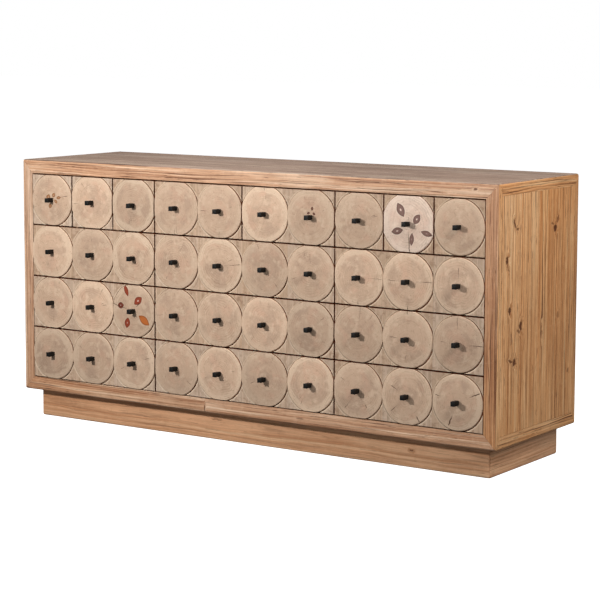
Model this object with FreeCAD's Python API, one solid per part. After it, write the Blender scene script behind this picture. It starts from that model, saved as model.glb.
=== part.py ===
import FreeCAD, Part
import os

# All sizes are in millimetres: X runs along the front, +Y to the back, +Z up.
# The origin is on the floor, under the middle of the whole sideboard.

# Grid of square drawer tiles inside the flush front frame
tile_pitch = 162.0
bay_tiles = [3, 4, 3]
row_drawers = [
    [1, 1, 1, 2, 2, 1, 1, 1],
    [3, 4, 3],
    [3, 4, 3],
    [3, 4, 3],
]

# Front frame: two stiles and two rails, mitred at the corners
stile_width = 40.0
top_rail_height = 42.0
bottom_rail_height = 42.0
frame_thickness = 22.0

# Case
case_depth = 485.0
top_thickness = 22.0
top_plank_count = 5
side_thickness = 24.0
side_top_band = 34.0
side_bottom_band = 36.0
side_back_band = 26.0
side_board_count = 4
bottom_thickness = 20.0
bottom_board_count = 3
back_thickness = 12.0
back_inset = 8.0
worn_edge = 3.5

# Dividers between the drawers
partition_thickness = 14.0
shelf_thickness = 16.0
guide_height = 24.0

# Plinth
plinth_height = 88.0
plinth_recess = 38.0
plinth_thickness = 22.0
plinth_worn_edge = 4.0

# Drawer fronts: square tiles, each with a round slice of log glued on
reveal = 3.0
tile_set_back = 2.0
tile_back_gap = 1.0
disc_thickness = 9.0
disc_diameters = [
    [162.0, 170.0, 168.0, 167.0, 163.5, 168.0, 163.5, 163.0, 171.0, 159.6],
    [165.0, 166.0, 163.0, 164.0, 163.5, 164.0, 163.0, 165.0, 163.5, 158.4],
    [163.0, 167.0, 163.0, 164.0, 164.0, 163.5, 163.0, 164.0, 165.0, 159.6],
    [163.0, 165.0, 163.0, 164.5, 163.5, 164.0, 163.0, 165.0, 164.0, 159.6],
]

# Knobs: short square pegs that widen a little towards the tip
knob_length = 29.0
knob_root_width = 10.0
knob_tip_width = 12.0

# Drawer boxes
box_side_clearance = 1.5
box_top_clearance = 6.0
box_back_clearance = 32.0
box_side_wall = 12.0
box_front_wall = 14.0
box_back_wall = 12.0
box_bottom_thickness = 8.0
box_bottom_raise = 8.0
box_groove_depth = 5.0

# Places worked out from the sizes above
tile_columns = sum(bay_tiles)
tile_rows = len(row_drawers)
opening_width = tile_columns * tile_pitch
opening_height = tile_rows * tile_pitch
case_width = opening_width + 2 * stile_width
case_bottom = plinth_height
opening_bottom = case_bottom + bottom_rail_height
opening_top = opening_bottom + opening_height
case_top = opening_top + top_rail_height
case_left = -case_width / 2
case_right = case_width / 2
opening_left = -opening_width / 2

disc_proud = disc_thickness - tile_set_back
front_face = (disc_proud + knob_length - case_depth) / 2
back_face = front_face + case_depth
frame_back = front_face + frame_thickness
disc_face = front_face - disc_proud
tile_face = front_face + tile_set_back
tile_back = frame_back - tile_back_gap
inside_back = back_face - back_inset - back_thickness
inside_left = case_left + side_thickness
inside_right = case_right - side_thickness
ceiling = case_top - top_thickness
bottom_underside = opening_bottom - bottom_thickness
box_height = tile_pitch - shelf_thickness - box_top_clearance
box_back = inside_back - box_back_clearance
partition_half = partition_thickness / 2


def block(x0, x1, y0, y1, z0, z1):
    """Board with its faces at the given places."""
    return Part.makeBox(x1 - x0, y1 - y0, z1 - z0, FreeCAD.Vector(x0, y0, z0))


def flat_face(points):
    """Flat face inside the outline through points."""
    corners = [FreeCAD.Vector(*point) for point in points]
    return Part.Face(Part.makePolygon(corners + corners[:1]))


def flat_sided(sections):
    """Solid with flat sides through outlines that have the same corners."""
    faces = [flat_face(sections[0]), flat_face(sections[-1])]
    for near, far in zip(sections[:-1], sections[1:]):
        for corner in range(len(near)):
            following = (corner + 1) % len(near)
            faces.append(flat_face([near[corner], near[following], far[following], far[corner]]))
    return Part.Solid(Part.Shell(faces))


def prism(points, run):
    """Solid made by moving the flat outline through points along run."""
    return flat_face(points).extrude(FreeCAD.Vector(*run))


def mirrored(solid):
    """Copy of a solid on the other side of the middle plane."""
    return solid.mirror(FreeCAD.Vector(0, 0, 0), FreeCAD.Vector(1, 0, 0))


def grid_x(column):
    """Line between two columns of tiles, counted from the left."""
    return opening_left + column * tile_pitch


def grid_z(row):
    """Line above a row of tiles, counted from the top."""
    return opening_top - row * tile_pitch


def boards_along(start, end, count):
    """Start and end of each of count equal boards laid edge to edge."""
    width = (end - start) / count
    edges = [start + number * width for number in range(count)] + [end]
    return list(zip(edges[:-1], edges[1:]))


def case_envelope():
    """Outside of the case with every arris worn down to a narrow flat."""
    whole = block(case_left, case_right, front_face, back_face, case_bottom, case_top)
    return whole.makeChamfer(worn_edge, whole.Edges)


def top_slab():
    """Top panel in one piece, mitred along its front and its ends."""
    front_inset = top_thickness * frame_thickness / side_top_band
    end_inset = top_thickness * side_thickness / side_top_band
    upper = [
        (case_left, front_face, case_top),
        (case_right, front_face, case_top),
        (case_right, back_face, case_top),
        (case_left, back_face, case_top),
    ]
    lower = [
        (case_left + end_inset, front_face + front_inset, ceiling),
        (case_right - end_inset, front_face + front_inset, ceiling),
        (case_right - end_inset, back_face, ceiling),
        (case_left + end_inset, back_face, ceiling),
    ]
    return flat_sided([lower, upper])


def right_side_bands():
    """Top, bottom and back members of the mitred border of the right side."""
    run = (side_thickness, 0, 0)
    x = inside_right
    inner_back = back_face - side_back_band
    inner_top = case_top - side_top_band
    inner_bottom = case_bottom + side_bottom_band
    top_band = prism([
        (x, front_face, case_top),
        (x, frame_back, inner_top),
        (x, inner_back, inner_top),
        (x, back_face, case_top),
    ], run)
    bottom_band = prism([
        (x, front_face, case_bottom),
        (x, back_face, case_bottom),
        (x, inner_back, inner_bottom),
        (x, frame_back, inner_bottom),
    ], run)
    back_band = prism([
        (x, back_face, case_bottom),
        (x, back_face, case_top),
        (x, inner_back, inner_top),
        (x, inner_back, inner_bottom),
    ], run)
    return [top_band, bottom_band, back_band]


def right_side_boards():
    """Upright boards that fill the border of the right side."""
    ends = boards_along(frame_back, back_face - side_back_band, side_board_count)
    low = case_bottom + side_bottom_band
    high = case_top - side_top_band
    return [block(inside_right, case_right, y0, y1, low, high) for y0, y1 in ends]


def front_members():
    """Rails and stiles with their mitres, still square behind."""
    run = (0, frame_thickness, 0)
    y = front_face
    outer = [
        (case_left, y, case_bottom),
        (case_right, y, case_bottom),
        (case_right, y, case_top),
        (case_left, y, case_top),
    ]
    inner = [
        (opening_left, y, opening_bottom),
        (-opening_left, y, opening_bottom),
        (-opening_left, y, opening_top),
        (opening_left, y, opening_top),
    ]
    members = []
    for corner in range(4):
        following = (corner + 1) % 4
        points = [outer[corner], outer[following], inner[following], inner[corner]]
        members.append(prism(points, run))
    return members


def make_top_panel():
    """Planks of the top, side by side from the front to the back."""
    slab = top_slab().common(case_envelope())
    planks = []
    for y0, y1 in boards_along(front_face, back_face, top_plank_count):
        strip = block(case_left, case_right, y0, y1, ceiling, case_top)
        planks.append(slab.common(strip))
    return planks


def make_side_panel(turn):
    """Boards and border of one side, turned to its place."""
    envelope = case_envelope()
    slab = top_slab()
    pieces = []
    for band in right_side_bands():
        pieces.append(band.cut(slab).common(envelope))
    pieces.extend(right_side_boards())
    return [turn(piece) for piece in pieces]


def make_front_frame():
    """Front frame, cut back behind for the top and for the side borders."""
    envelope = case_envelope()
    neighbours = [top_slab()]
    for band in right_side_bands():
        neighbours.append(band)
        neighbours.append(mirrored(band))
    return [member.cut(neighbours).common(envelope) for member in front_members()]


def make_back_panel():
    """Plain sheet between the sides, set in from the back edges."""
    return [block(inside_left, inside_right, inside_back, inside_back + back_thickness,
                  bottom_underside, ceiling)]


def make_bottom_panel():
    """Boards that carry the lowest drawers and rest on the plinth."""
    ends = boards_along(frame_back, inside_back, bottom_board_count)
    return [block(inside_left, inside_right, y0, y1, bottom_underside, opening_bottom)
            for y0, y1 in ends]


def make_partitions():
    """Uprights between the bays, then those between the short top drawers."""
    bay_lines = [sum(bay_tiles[:count]) for count in range(1, len(bay_tiles))]
    drawer_lines = [sum(row_drawers[0][:count]) for count in range(1, len(row_drawers[0]))]
    uprights = []
    for line in bay_lines:
        uprights.append(block(grid_x(line) - partition_half, grid_x(line) + partition_half,
                              frame_back, inside_back, opening_bottom, ceiling))
    for line in drawer_lines:
        if line not in bay_lines:
            uprights.append(block(grid_x(line) - partition_half, grid_x(line) + partition_half,
                                  frame_back, inside_back, grid_z(1), ceiling))
    return uprights


def make_shelves():
    """Shelves of each bay and the guide strips along the case sides."""
    boards = []
    line = 0
    for count in bay_tiles:
        left = inside_left if line == 0 else grid_x(line) + partition_half
        line += count
        right = inside_right if line == tile_columns else grid_x(line) - partition_half
        for row in range(1, tile_rows):
            boards.append(block(left, right, frame_back, inside_back,
                                grid_z(row) - shelf_thickness, grid_z(row)))
    for row in range(1, tile_rows + 1):
        guide = block(-opening_left - partition_half, inside_right, frame_back, inside_back,
                      grid_z(row), grid_z(row) + guide_height)
        boards.append(guide)
        boards.append(mirrored(guide))
    return boards


def make_plinth():
    """Four mitred boards under the case, set back from it all round."""
    left = case_left + plinth_recess
    right = case_right - plinth_recess
    near = front_face + plinth_recess
    far = back_face - plinth_recess
    outer = [(left, near, 0), (right, near, 0), (right, far, 0), (left, far, 0)]
    inner = [
        (left + plinth_thickness, near + plinth_thickness, 0),
        (right - plinth_thickness, near + plinth_thickness, 0),
        (right - plinth_thickness, far - plinth_thickness, 0),
        (left + plinth_thickness, far - plinth_thickness, 0),
    ]
    whole = block(left, right, near, far, 0, bottom_underside)
    upright_edges = [edge for edge in whole.Edges if edge.tangentAt(edge.FirstParameter).z != 0]
    worn = whole.makeChamfer(plinth_worn_edge, upright_edges)
    boards = []
    for corner in range(4):
        following = (corner + 1) % 4
        points = [outer[corner], outer[following], inner[following], inner[corner]]
        boards.append(prism(points, (0, 0, bottom_underside)).common(worn))
    return boards


def tile_edges(column, first, last):
    """Left and right edge of a tile in a drawer that runs from first to last."""
    left = grid_x(column)
    right = grid_x(column + 1)
    if column == first:
        left += reveal / 2
    if column == last:
        right -= reveal / 2
    return left, right


def make_drawer_front(row, first, count):
    """Tiles of one drawer and the log slices on them, trimmed to the tiles."""
    last = first + count - 1
    low = grid_z(row + 1) + reveal / 2
    high = grid_z(row) - reveal / 2
    middle_z = (grid_z(row) + grid_z(row + 1)) / 2
    pieces = []
    for column in range(first, first + count):
        left, right = tile_edges(column, first, last)
        pieces.append(block(left, right, tile_face, tile_back, low, high))
        middle_x = (grid_x(column) + grid_x(column + 1)) / 2
        radius = disc_diameters[row][column] / 2
        slice_of_log = Part.makeCylinder(radius, disc_thickness,
                                         FreeCAD.Vector(middle_x, tile_face, middle_z),
                                         FreeCAD.Vector(0, -1, 0))
        trim = block(left, right, disc_face, tile_face, low, high)
        pieces.append(slice_of_log.common(trim))
    return pieces


def make_drawer_box(row, first, count):
    """Two sides with grooves for the bottom, and an inner front and a back that stand on it."""
    left = grid_x(first) + partition_half + box_side_clearance
    right = grid_x(first + count) - partition_half - box_side_clearance
    floor = grid_z(row + 1)
    rim = floor + box_height
    groove_low = floor + box_bottom_raise
    groove_high = groove_low + box_bottom_thickness
    inner_left = left + box_side_wall
    inner_right = right - box_side_wall
    bottom = block(inner_left - box_groove_depth, inner_right + box_groove_depth,
                   tile_back, box_back, groove_low, groove_high)
    side = block(left, inner_left, tile_back, box_back, floor, rim)
    other_side = block(inner_right, right, tile_back, box_back, floor, rim)
    front_wall = block(inner_left, inner_right, tile_back, tile_back + box_front_wall,
                       groove_high, rim)
    back_wall = block(inner_left, inner_right, box_back - box_back_wall, box_back,
                      groove_high, rim)
    return [side.cut(bottom), other_side.cut(bottom), front_wall, back_wall, bottom]


def square_outline(x, y, z, width):
    """Corners of a square across the Y direction."""
    half = width / 2
    return [(x - half, y, z - half), (x + half, y, z - half),
            (x + half, y, z + half), (x - half, y, z + half)]


def make_drawer_knobs(row, first, count):
    """One peg in the middle of each disc."""
    z = (grid_z(row) + grid_z(row + 1)) / 2
    tip = disc_face - knob_length
    pegs = []
    for column in range(first, first + count):
        x = (grid_x(column) + grid_x(column + 1)) / 2
        pegs.append(flat_sided([
            square_outline(x, disc_face, z, knob_root_width),
            square_outline(x, tip, z, knob_tip_width),
        ]))
    return pegs


def build():
    """Every node of the sideboard as a name and its list of solids."""
    nodes = {
        "top_panel": make_top_panel(),
        "right_side_panel": make_side_panel(lambda piece: piece),
        "left_side_panel": make_side_panel(mirrored),
        "front_frame": make_front_frame(),
        "back_panel": make_back_panel(),
        "bottom_panel": make_bottom_panel(),
        "partitions": make_partitions(),
        "shelves": make_shelves(),
        "plinth": make_plinth(),
    }
    number = 0
    for row, spans in enumerate(row_drawers):
        first = 0
        for count in spans:
            number += 1
            name = "drawer_%02d" % number
            nodes[name + "_front"] = make_drawer_front(row, first, count)
            nodes[name + "_box"] = make_drawer_box(row, first, count)
            nodes[name + "_knobs"] = make_drawer_knobs(row, first, count)
            first += count
    return nodes


os.makedirs("parts", exist_ok=True)
for node_name, solids in build().items():
    Part.makeCompound(solids).exportStep("parts/" + node_name + ".step")
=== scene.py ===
"""Sideboard with log-slice drawers: its finishes, softened shapes, light and camera."""

import logging
import math
import random
from dataclasses import dataclass, field
from enum import Enum
from typing import Iterable, Sequence

import bmesh
import bpy
from mathutils import Matrix, Vector


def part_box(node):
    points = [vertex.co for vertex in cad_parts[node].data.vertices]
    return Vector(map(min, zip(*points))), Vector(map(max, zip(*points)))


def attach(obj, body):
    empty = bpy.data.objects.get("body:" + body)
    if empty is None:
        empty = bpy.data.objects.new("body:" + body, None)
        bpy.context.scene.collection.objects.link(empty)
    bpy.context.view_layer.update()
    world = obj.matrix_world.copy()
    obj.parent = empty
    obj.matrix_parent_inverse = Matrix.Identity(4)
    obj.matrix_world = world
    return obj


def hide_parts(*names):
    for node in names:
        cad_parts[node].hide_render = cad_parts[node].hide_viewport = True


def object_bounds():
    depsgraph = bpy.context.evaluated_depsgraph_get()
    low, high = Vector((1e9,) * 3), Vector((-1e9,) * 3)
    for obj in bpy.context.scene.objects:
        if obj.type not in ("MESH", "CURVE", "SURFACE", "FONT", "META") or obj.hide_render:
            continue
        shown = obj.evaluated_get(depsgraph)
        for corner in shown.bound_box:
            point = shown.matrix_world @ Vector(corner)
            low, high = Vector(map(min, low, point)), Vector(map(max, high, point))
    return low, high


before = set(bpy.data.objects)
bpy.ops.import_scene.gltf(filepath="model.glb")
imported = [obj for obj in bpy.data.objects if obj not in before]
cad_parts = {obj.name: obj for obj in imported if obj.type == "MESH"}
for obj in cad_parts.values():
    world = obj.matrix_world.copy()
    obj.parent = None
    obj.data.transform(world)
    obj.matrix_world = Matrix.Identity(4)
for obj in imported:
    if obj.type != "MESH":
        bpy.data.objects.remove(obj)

Colour = tuple[float, float, float, float]
Triple = tuple[float, float, float]
Tones = tuple[float, float]
Spot = tuple[int, int]
Cut = tuple[Vector, Vector]
Mesh = bmesh.types.BMesh
Piece = bpy.types.Object
Material = bpy.types.Material
Socket = bpy.types.NodeSocket

CAD_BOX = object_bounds()
LOG = logging.getLogger("sideboard")
MM = 0.001
SLICE_FACE = -227.5 * MM
TILE_FACE = -225.0 * MM
FRAME_FACE = -224.5 * MM
PLINTH_FACE = -186.5 * MM
SIDE = CAD_BOX[1][0]
FRONT = Vector((0, -1, 0))
FACE_FRONT = Matrix.Rotation(math.radians(90), 4, "X")
ACROSS = (1.0, 0.0, 0.0)
# How near, in metres, a point counts as on a plane, in a face and at another point.
SNAP = 1e-7
SAME_PLACE = 1e-6
WELD_REACH = 1e-5
# Where boards lie in their logs, in metres, and how much lighter or darker a plain one may be.
LOG_LENGTH = 40.0
PITH_BESIDE = (0.01, 0.08)
PITH_BEHIND = (0.01, 0.05)
BOARD_TONES = (-0.06, 0.06)
# How far a board's tone moves its red, green and blue.
TONE_TINTS = (0.5, 1.2, 2.0)
# Small wander of the rings and their bend round a knot, in metres.
RING_RIPPLE = 0.006
KNOT_BEND = 0.008
# How frayed a board's knot is, in half widths.
KNOT_FRAY = 2.6
# How far a crack of a slice wavers, in metres, and how much wider it shows than its half width.
CRACK_WAVER = 0.005
CRACK_SPREAD = 1.5


class Grain(Enum):
    """Which way the fibres of a board run: the axis along them, then the two across."""

    ALONG_X = (0, 2, 1)
    ALONG_Y = (1, 2, 0)
    ALONG_Z = (2, 0, 1)


def srgb(red: int, green: int, blue: int) -> Colour:
    """Colour socket value of a colour given in the usual 0 to 255 steps.

    Args:
        red: Red, 0 to 255.
        green: Green, 0 to 255.
        blue: Blue, 0 to 255.

    Returns:
        The same colour in linear light, with full cover.
    """
    shares = (red / 255, green / 255, blue / 255)
    linear = [s / 12.92 if s <= 0.04045 else ((s + 0.055) / 1.055) ** 2.4 for s in shares]
    return (*linear, 1.0)


WHITE: Colour = (1.0, 1.0, 1.0, 1.0)
# Pale lip round each hole in a tile: partly worn bare wood, partly a painted highlight.
LIP_WEAR_AND_HIGHLIGHT = srgb(236, 214, 186)
# Painted shade on the tiles' outer chamfers and, warm brown, deep in the gaps between drawers.
ARRIS_SHADE = srgb(64, 30, 12)
GAP_SHADE = srgb(146, 70, 30)
# Painted shade on the side walls of the slices' rims.
RIM_SHADE = srgb(120, 60, 26)
CRACK_COLOUR = srgb(76, 48, 30)
KNOT_EDGE = srgb(70, 34, 24)
KNOT_HEART = srgb(226, 200, 182)


class Shader:
    """Adds and links the nodes of one material."""

    def __init__(self, name: str) -> None:
        """Start an empty material.

        Args:
            name: Name of the material.
        """
        self.material = bpy.data.materials.new(name)
        self.material.use_nodes = True
        self.tree = self.material.node_tree
        self.tree.nodes.clear()

    def add(self, kind: str, inputs: dict | None = None, **settings: object) -> bpy.types.Node:
        """Add a node.

        Args:
            kind: Node type without its ShaderNode prefix.
            inputs: Socket name or number to a value or to another socket.
            settings: Properties of the node itself.

        Returns:
            The new node.
        """
        node = self.tree.nodes.new("ShaderNode" + kind)
        for key, value in settings.items():
            setattr(node, key, value)
        for key, value in (inputs or {}).items():
            self.feed(node.inputs[key], value)
        return node

    def feed(self, socket: Socket, value: object) -> None:
        """Link a socket to another one, or set its value.

        Args:
            socket: Input of a node.
            value: Output of another node, or a plain value.
        """
        if isinstance(value, Socket):
            self.tree.links.new(value, socket)
        else:
            socket.default_value = value

    def place(self) -> Socket:
        """Position on the object in metres."""
        return self.add("TexCoord").outputs["Object"]

    def attribute(self, name: str, output: str = "Vector") -> Socket:
        """Value that the mesh carries under a name."""
        return self.add("Attribute", attribute_name=name).outputs[output]

    def math(self, operation: str, *values: object) -> Socket:
        """Result of one sum on sockets or numbers."""
        return self.add("Math", dict(enumerate(values)), operation=operation).outputs[0]

    def times(self, first: object, second: object) -> Socket:
        """Product of two numbers."""
        return self.math("MULTIPLY", first, second)

    def plus(self, base: object, value: object, factor: object) -> Socket:
        """Base plus a value times a factor."""
        return self.math("MULTIPLY_ADD", value, factor, base)

    def less(self, first: object, second: object) -> Socket:
        """First number less the second."""
        return self.math("SUBTRACT", first, second)

    def vector(self, operation: str, *values: object) -> Socket:
        """Result of one vector sum.

        Args:
            operation: Name of the sum.
            values: Vectors that go into it.

        Returns:
            A number for DOT_PRODUCT and LENGTH, and else a vector.
        """
        node = self.add("VectorMath", dict(enumerate(values)), operation=operation)
        return node.outputs["Value" if operation in ("DOT_PRODUCT", "LENGTH") else "Vector"]

    def combine(self, *values: object) -> Socket:
        """Vector of up to three numbers."""
        return self.add("CombineXYZ", dict(enumerate(values))).outputs[0]

    def split(self, vector: Socket) -> list[Socket]:
        """The three numbers of a vector."""
        return list(self.add("SeparateXYZ", {0: vector}).outputs)

    def stretched(self, parts: Sequence[object], *factors: float) -> Socket:
        """Vector of up to three numbers, each times its factor."""
        return self.combine(*[self.times(part, factor) for part, factor in zip(parts, factors)])

    def noise(self, vector: object, scale: float = 1.0, detail: float = 2.0,
              roughness: float = 0.5, distortion: float = 0.0) -> Socket:
        """Smooth noise.

        Args:
            vector: Where it is read.
            scale: How fine it is.
            detail: Number of its finer layers.
            roughness: Strength of those layers.
            distortion: How much it is twisted.

        Returns:
            A number from 0 to 1, mostly near 0.5.
        """
        inputs = {"Vector": vector, "Scale": scale, "Detail": detail,
                  "Roughness": roughness, "Distortion": distortion}
        return self.add("TexNoise", inputs).outputs[0]

    def remap(self, value: object, low: float, high: float, to_low: float = 0.0,
              to_high: float = 1.0) -> Socket:
        """Smooth step of a value between two limits.

        Args:
            value: The value.
            low: Limit where the step starts, above or below the other.
            high: Limit where it ends.
            to_low: Result at the first limit.
            to_high: Result at the second limit.

        Returns:
            The result.
        """
        inputs = {0: value, 1: low, 2: high, 3: to_low, 4: to_high}
        return self.add("MapRange", inputs, interpolation_type="SMOOTHSTEP").outputs[0]

    def mix(self, share: object, first: object, second: object, blend: str = "MIX") -> Socket:
        """Colour between two colours.

        Args:
            share: Share of the second colour.
            first: Colour at 0.
            second: Colour at 1.
            blend: How the two meet.

        Returns:
            The colour.
        """
        inputs = {0: share, 6: first, 7: second}
        return self.add("Mix", inputs, data_type="RGBA", blend_type=blend).outputs[2]

    def laid_over(self, colour: object, layers: Iterable[tuple]) -> Socket:
        """Colour with others laid over it, one after the other.

        Args:
            colour: Colour below.
            layers: For each, the value that says where it lies, the two limits of its smooth step,
                its share at the second limit, and its colour.

        Returns:
            The new colour.
        """
        for value, low, high, share, over in layers:
            colour = self.mix(self.remap(value, low, high, 0.0, share), colour, over)
        return colour

    def finish(self, colour: object, roughness: object, height: object, depth: float,
               **sockets: object) -> Material:
        """Close the material with its surface and bump.

        Args:
            colour: Base colour.
            roughness: Roughness of the surface.
            height: Height from 0 to 1 that drives the bump.
            depth: Depth of that bump in metres.
            sockets: Other sockets of the surface, with _ for a space.

        Returns:
            The finished material.
        """
        bump = self.add("Bump", {"Strength": 1.0, "Distance": depth, "Height": height})
        inputs = {"Base Color": colour, "Roughness": roughness, "Normal": bump.outputs[0]}
        inputs.update({key.replace("_", " "): value for key, value in sockets.items()})
        surface = self.add("BsdfPrincipled", inputs)
        self.add("OutputMaterial", {"Surface": surface.outputs[0]})
        return self.material


@dataclass(frozen=True)
class BoardKnot:
    """Knot, or one dark stroke of a knot, in the face of a board.

    Attributes:
        place: Point of its middle, in metres.
        size: Half width in metres.
        stretch: How many times longer it is than wide.
        run: Direction of its length.
        depth: How dark it is, 0 to 1.
    """

    place: Triple
    size: float
    stretch: float = 1.0
    run: Triple = (0.0, 0.0, 1.0)
    depth: float = 1.0


@dataclass(frozen=True)
class PineFinish:
    """Reclaimed pine with brushed grain, seen along or across its rings.

    Attributes:
        name: Name of the material.
        early: Colour of the soft wood between the rings.
        late: Colour of the hard lines of the rings.
        pale: Colour of the dry, bleached fibres.
        dark: Colour of the stained fibres.
        crevice: Colour of the deep brushed lines and the knots' hearts.
        laid: Fibre direction, or None where the boards carry their own.
        spacing: Distance between two rings in metres.
        bands: Streaks in a metre across the grain.
        sway: How far the rings wander, in metres.
        bleached: Share of bleached fibres, 0 to 1.
        stained: Share of stained fibres, 0 to 1.
        furrowed: Share of deep brushed lines, 0 to 1.
        mottled: Share of small irregular patches, 0 to 1.
        roughness: Mean roughness.
        relief: Depth of the brushed grain in metres.
        sheen: Strength of its reflections, 0 to 1.
        gap_shade_from: Place along Y behind which painted shade darkens the wood in the gaps, if any.
        knots: Knots of the boards.
    """

    name: str
    early: Colour
    late: Colour
    pale: Colour
    dark: Colour
    crevice: Colour
    laid: Grain | None = None
    spacing: float = 0.0065
    bands: float = 130.0
    sway: float = 0.02
    bleached: float = 0.5
    stained: float = 0.5
    furrowed: float = 0.5
    mottled: float = 0.12
    roughness: float = 0.62
    relief: float = 0.0006
    sheen: float = 0.3
    gap_shade_from: float | None = None
    knots: tuple[BoardKnot, ...] = ()

    def build(self) -> Material:
        """Make the material."""
        shade = Shader(self.name)
        place = shade.place()
        if self.laid is None:
            grain = shade.split(shade.attribute("grain"))
        else:
            parts = shade.split(place)
            grain = [parts[axis] for axis in self.laid.value]
        heart, halo = self.knots_in(shade, place)
        reach = self.reach(shade, grain, halo)
        saw = shade.math("FRACT", shade.math("DIVIDE", reach, self.spacing))
        ring = shade.times(shade.remap(saw, 0.25, 0.88), shade.remap(saw, 1.0, 0.93))
        strength = shade.noise(shade.stretched(grain, 1.3, 30.0, 30.0), detail=1.0)
        ring = shade.times(ring, shade.remap(strength, 0.25, 0.7, 0.15, 0.8))
        band = shade.noise(shade.stretched((reach, grain[0]), self.bands, 1.1), detail=3.0, roughness=0.7)
        furrow = shade.stretched((reach, grain[0], grain[2]), self.bands * 2.6, 3.0, 9.0)
        deep = shade.remap(shade.noise(furrow, roughness=0.55), 0.56, 0.70, 0.0, self.furrowed)
        dash = shade.noise(shade.stretched(grain, 22.0, 420.0, 420.0))
        fibre = shade.noise(shade.stretched(grain, 9.0, 520.0, 520.0), detail=3.0, roughness=0.6)
        blotch = shade.noise(shade.stretched(grain, 2.2, 14.0, 14.0), detail=3.0, roughness=0.6)
        mottle = shade.noise(place, scale=52.0, detail=4.0, roughness=0.65, distortion=0.8)
        colour = shade.laid_over(shade.mix(ring, self.early, self.late), (
            (band, 0.5, 0.68, self.bleached, self.pale),
            (band, 0.48, 0.32, self.stained, self.dark),
            (blotch, 0.52, 0.75, self.stained * 0.5, self.dark),
            (blotch, 0.48, 0.3, self.bleached * 0.5, self.pale),
            (mottle, 0.54, 0.66, self.mottled, self.dark),
            (mottle, 0.46, 0.34, self.mottled, self.pale),
        ))
        colour = shade.mix(deep, colour, self.crevice)
        colour = shade.laid_over(colour, ((dash, 0.63, 0.72, self.furrowed, self.crevice),))
        colour = shade.mix(shade.times(halo, 0.2), colour, self.dark)
        colour = shade.mix(shade.times(heart, 0.95), colour, self.crevice)
        grit = shade.remap(fibre, 0.3, 0.7, 0.84, 1.12)
        tone = shade.attribute("tone", "Fac")
        tints = [shade.times(grit, shade.plus(1.0, tone, tint)) for tint in TONE_TINTS]
        colour = shade.mix(1.0, colour, shade.combine(*tints), "MULTIPLY")
        # Pale lip round each hole, partly a painted highlight, and painted shade in the gaps.
        if self.gap_shade_from is not None:
            colour = self.worn_lip_highlight_and_gap_shade(shade, colour, place)
        height = shade.plus(shade.times(fibre, 0.5), ring, 0.5)
        for value, factor in ((band, 0.7), (deep, -1.2), (heart, -0.8)):
            height = shade.plus(height, value, factor)
        rough = shade.remap(band, 0.3, 0.7, self.roughness - 0.08, self.roughness + 0.12)
        return shade.finish(colour, rough, height, self.relief, Specular_IOR_Level=self.sheen)

    def reach(self, shade: Shader, grain: Sequence[object], halo: object) -> Socket:
        """Distance from the middle of the log, with the wander of real rings.

        Args:
            shade: Material under work.
            grain: Place along the fibres and two ways across them.
            halo: Mask of the grain that bends round the knots.

        Returns:
            The distance in metres.
        """
        _, across, depth = grain
        bend = shade.noise(shade.stretched(grain, 1.2, 6.0, 6.0))
        ripple = shade.noise(shade.stretched(grain, 9.0, 40.0, 40.0))
        reach = shade.vector("LENGTH", shade.combine(across, depth, 0.0))
        for value, most in ((bend, self.sway), (ripple, RING_RIPPLE), (halo, KNOT_BEND)):
            reach = shade.plus(reach, value, most)
        return reach

    def worn_lip_highlight_and_gap_shade(self, shade: Shader, colour: object, place: object) -> Socket:
        """Colour with a pale lip round each slice, partly a painted highlight, and painted shade in the gaps.

        Args:
            shade: Material under work.
            colour: Colour so far.
            place: Position on the object.

        Returns:
            The new colour.
        """
        x, _, z = shade.split(shade.vector("SUBTRACT", place, shade.attribute("middle")))
        beyond = shade.less(shade.vector("LENGTH", shade.combine(x, 0.0, z)), shade.attribute("hole", "Fac"))
        # Pale lip round the hole: worn wood, and a painted highlight where the chamfer meets the light.
        colour = shade.laid_over(colour, ((beyond, 0.0058, 0.0026, 0.5, LIP_WEAR_AND_HIGHLIGHT),))
        # Painted shade: dark on the tile's outer chamfers, warm brown deeper in the gaps between drawers.
        depth = shade.less(shade.split(place)[1], self.gap_shade_from)
        arris = shade.times(shade.remap(depth, 0.0001, 0.0012), shade.remap(beyond, 0.0008, 0.003))
        colour = shade.mix(shade.times(arris, 0.9), colour, ARRIS_SHADE)
        return shade.laid_over(colour, ((depth, 0.0016, 0.0030, 0.97, GAP_SHADE),))

    def knots_in(self, shade: Shader, place: Socket) -> tuple[object, object]:
        """Masks of the knots' hearts and of the grain that bends round them.

        Args:
            shade: Material under work.
            place: Position on the object.

        Returns:
            Mask of the hearts and mask of the halos.
        """
        heart: object = 0.0
        halo: object = 0.0
        inputs = {"Vector": place, "Scale": 85.0, "Detail": 3.0, "Roughness": 0.6}
        torn = shade.vector("SUBTRACT", shade.add("TexNoise", inputs).outputs["Color"], (0.5, 0.5, 0.5))
        for knot in self.knots:
            fray = knot.size * KNOT_FRAY
            away = shade.vector("SUBTRACT", place, knot.place)
            away = shade.vector("MULTIPLY_ADD", torn, (fray, fray, fray), away)
            along = shade.vector("DOT_PRODUCT", away, knot.run)
            whole = shade.vector("DOT_PRODUCT", away, away)
            span = shade.plus(whole, shade.times(along, along), knot.stretch ** -2 - 1.0)
            span = shade.math("DIVIDE", shade.math("SQRT", shade.math("MAXIMUM", span, 0.0)), knot.size)
            heart = shade.math("MAXIMUM", heart, shade.remap(span, 1.15, 0.7, 0.0, knot.depth))
            halo = shade.math("MAXIMUM", halo, shade.remap(span, 2.8, 0.8, 0.0, knot.depth))
        return heart, halo


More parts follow.
